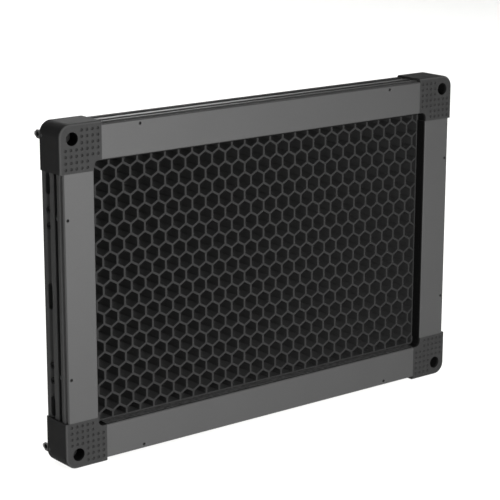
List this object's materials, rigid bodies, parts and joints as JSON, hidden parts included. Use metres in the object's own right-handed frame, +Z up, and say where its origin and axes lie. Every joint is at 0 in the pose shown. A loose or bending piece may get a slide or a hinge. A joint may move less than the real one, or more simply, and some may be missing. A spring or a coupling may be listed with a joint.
{
  "type": "framed honeycomb light grid",
  "caption": "Rectangular framed honeycomb grid that narrows a light panel's beam, with corner blocks, slotted side rails and fold-away rear lugs.",
  "frame": {"origin": "centre of the rear seating plane, the plane of the corner blocks' rear faces", "axes": "+X right seen from the front, +Y from the open front face towards the lamp, +Z up"},
  "size_m": [0.3056, 0.028, 0.2056],
  "materials": {
    "core_plastic": "moulded matt",
    "rail_anodised": "bead-blasted, grey anodised",
    "liner_black": "matt black",
    "retainer_sheet": "matt black powder coat",
    "block_plastic": "moulded fine texture",
    "key_aluminium": "mill finish",
    "plate_steel": "zinc plated",
    "lug_steel": "black coat",
    "pin_steel": "black phosphated",
    "washer_nylon": "natural nylon",
    "screw_black": "black oxide",
    "spacer_aluminium": "dark grey anodised"
  },
  "bodies": {
    "frame": {"honeycomb_core": "core_plastic", "front_rail_top": "rail_anodised", "rear_rail_top": "rail_anodised", "liner_top": "liner_black", "retainer_top": "retainer_sheet", "front_rail_right": "rail_anodised", "rear_rail_right": "rail_anodised", "liner_right": "liner_black", "retainer_right": "retainer_sheet", "front_rail_bottom": "rail_anodised", "rear_rail_bottom": "rail_anodised", "liner_bottom": "liner_black", "retainer_bottom": "retainer_sheet", "front_rail_left": "rail_anodised", "rear_rail_left": "rail_anodised", "liner_left": "liner_black", "retainer_left": "retainer_sheet", "corner_block_top_left": "block_plastic", "corner_key_top_left": "key_aluminium", "joint_plate_top_left": "plate_steel", "lug_pin_top_left": "pin_steel", "corner_block_top_right": "block_plastic", "corner_key_top_right": "key_aluminium", "joint_plate_top_right": "plate_steel", "lug_pin_top_right": "pin_steel", "corner_block_bottom_left": "block_plastic", "corner_key_bottom_left": "key_aluminium", "joint_plate_bottom_left": "plate_steel", "lug_pin_bottom_left": "pin_steel", "corner_block_bottom_right": "block_plastic", "corner_key_bottom_right": "key_aluminium", "joint_plate_bottom_right": "plate_steel", "lug_pin_bottom_right": "pin_steel", "friction_washers": "washer_nylon", "corner_screws": "screw_black", "side_screws_right": "screw_black", "side_screws_left": "screw_black", "face_screws": "screw_black", "retainer_screws": "screw_black", "gap_spacers": "spacer_aluminium"},
    "lug_top_left": {"eye_lug_top_left": "lug_steel"},
    "lug_top_right": {"eye_lug_top_right": "lug_steel"},
    "lug_bottom_left": {"eye_lug_bottom_left": "lug_steel"},
    "lug_bottom_right": {"eye_lug_bottom_right": "lug_steel"}
  },
  "joints": [
    {"name": "lug_fold_top_left", "type": "hinge", "parent": "frame", "child": "lug_top_left", "pos_m": [-0.15075, -0.0029, 0.0946], "axis": [-1, 0, 0], "range_deg": [0, 90]},
    {"name": "lug_fold_top_right", "type": "hinge", "parent": "frame", "child": "lug_top_right", "pos_m": [0.15075, -0.0029, 0.0946], "axis": [-1, 0, 0], "range_deg": [0, 90]},
    {"name": "lug_fold_bottom_left", "type": "hinge", "parent": "frame", "child": "lug_bottom_left", "pos_m": [-0.15075, -0.0029, -0.0946], "axis": [1, 0, 0], "range_deg": [0, 90]},
    {"name": "lug_fold_bottom_right", "type": "hinge", "parent": "frame", "child": "lug_bottom_right", "pos_m": [0.15075, -0.0029, -0.0946], "axis": [1, 0, 0], "range_deg": [0, 90]}
  ]
}
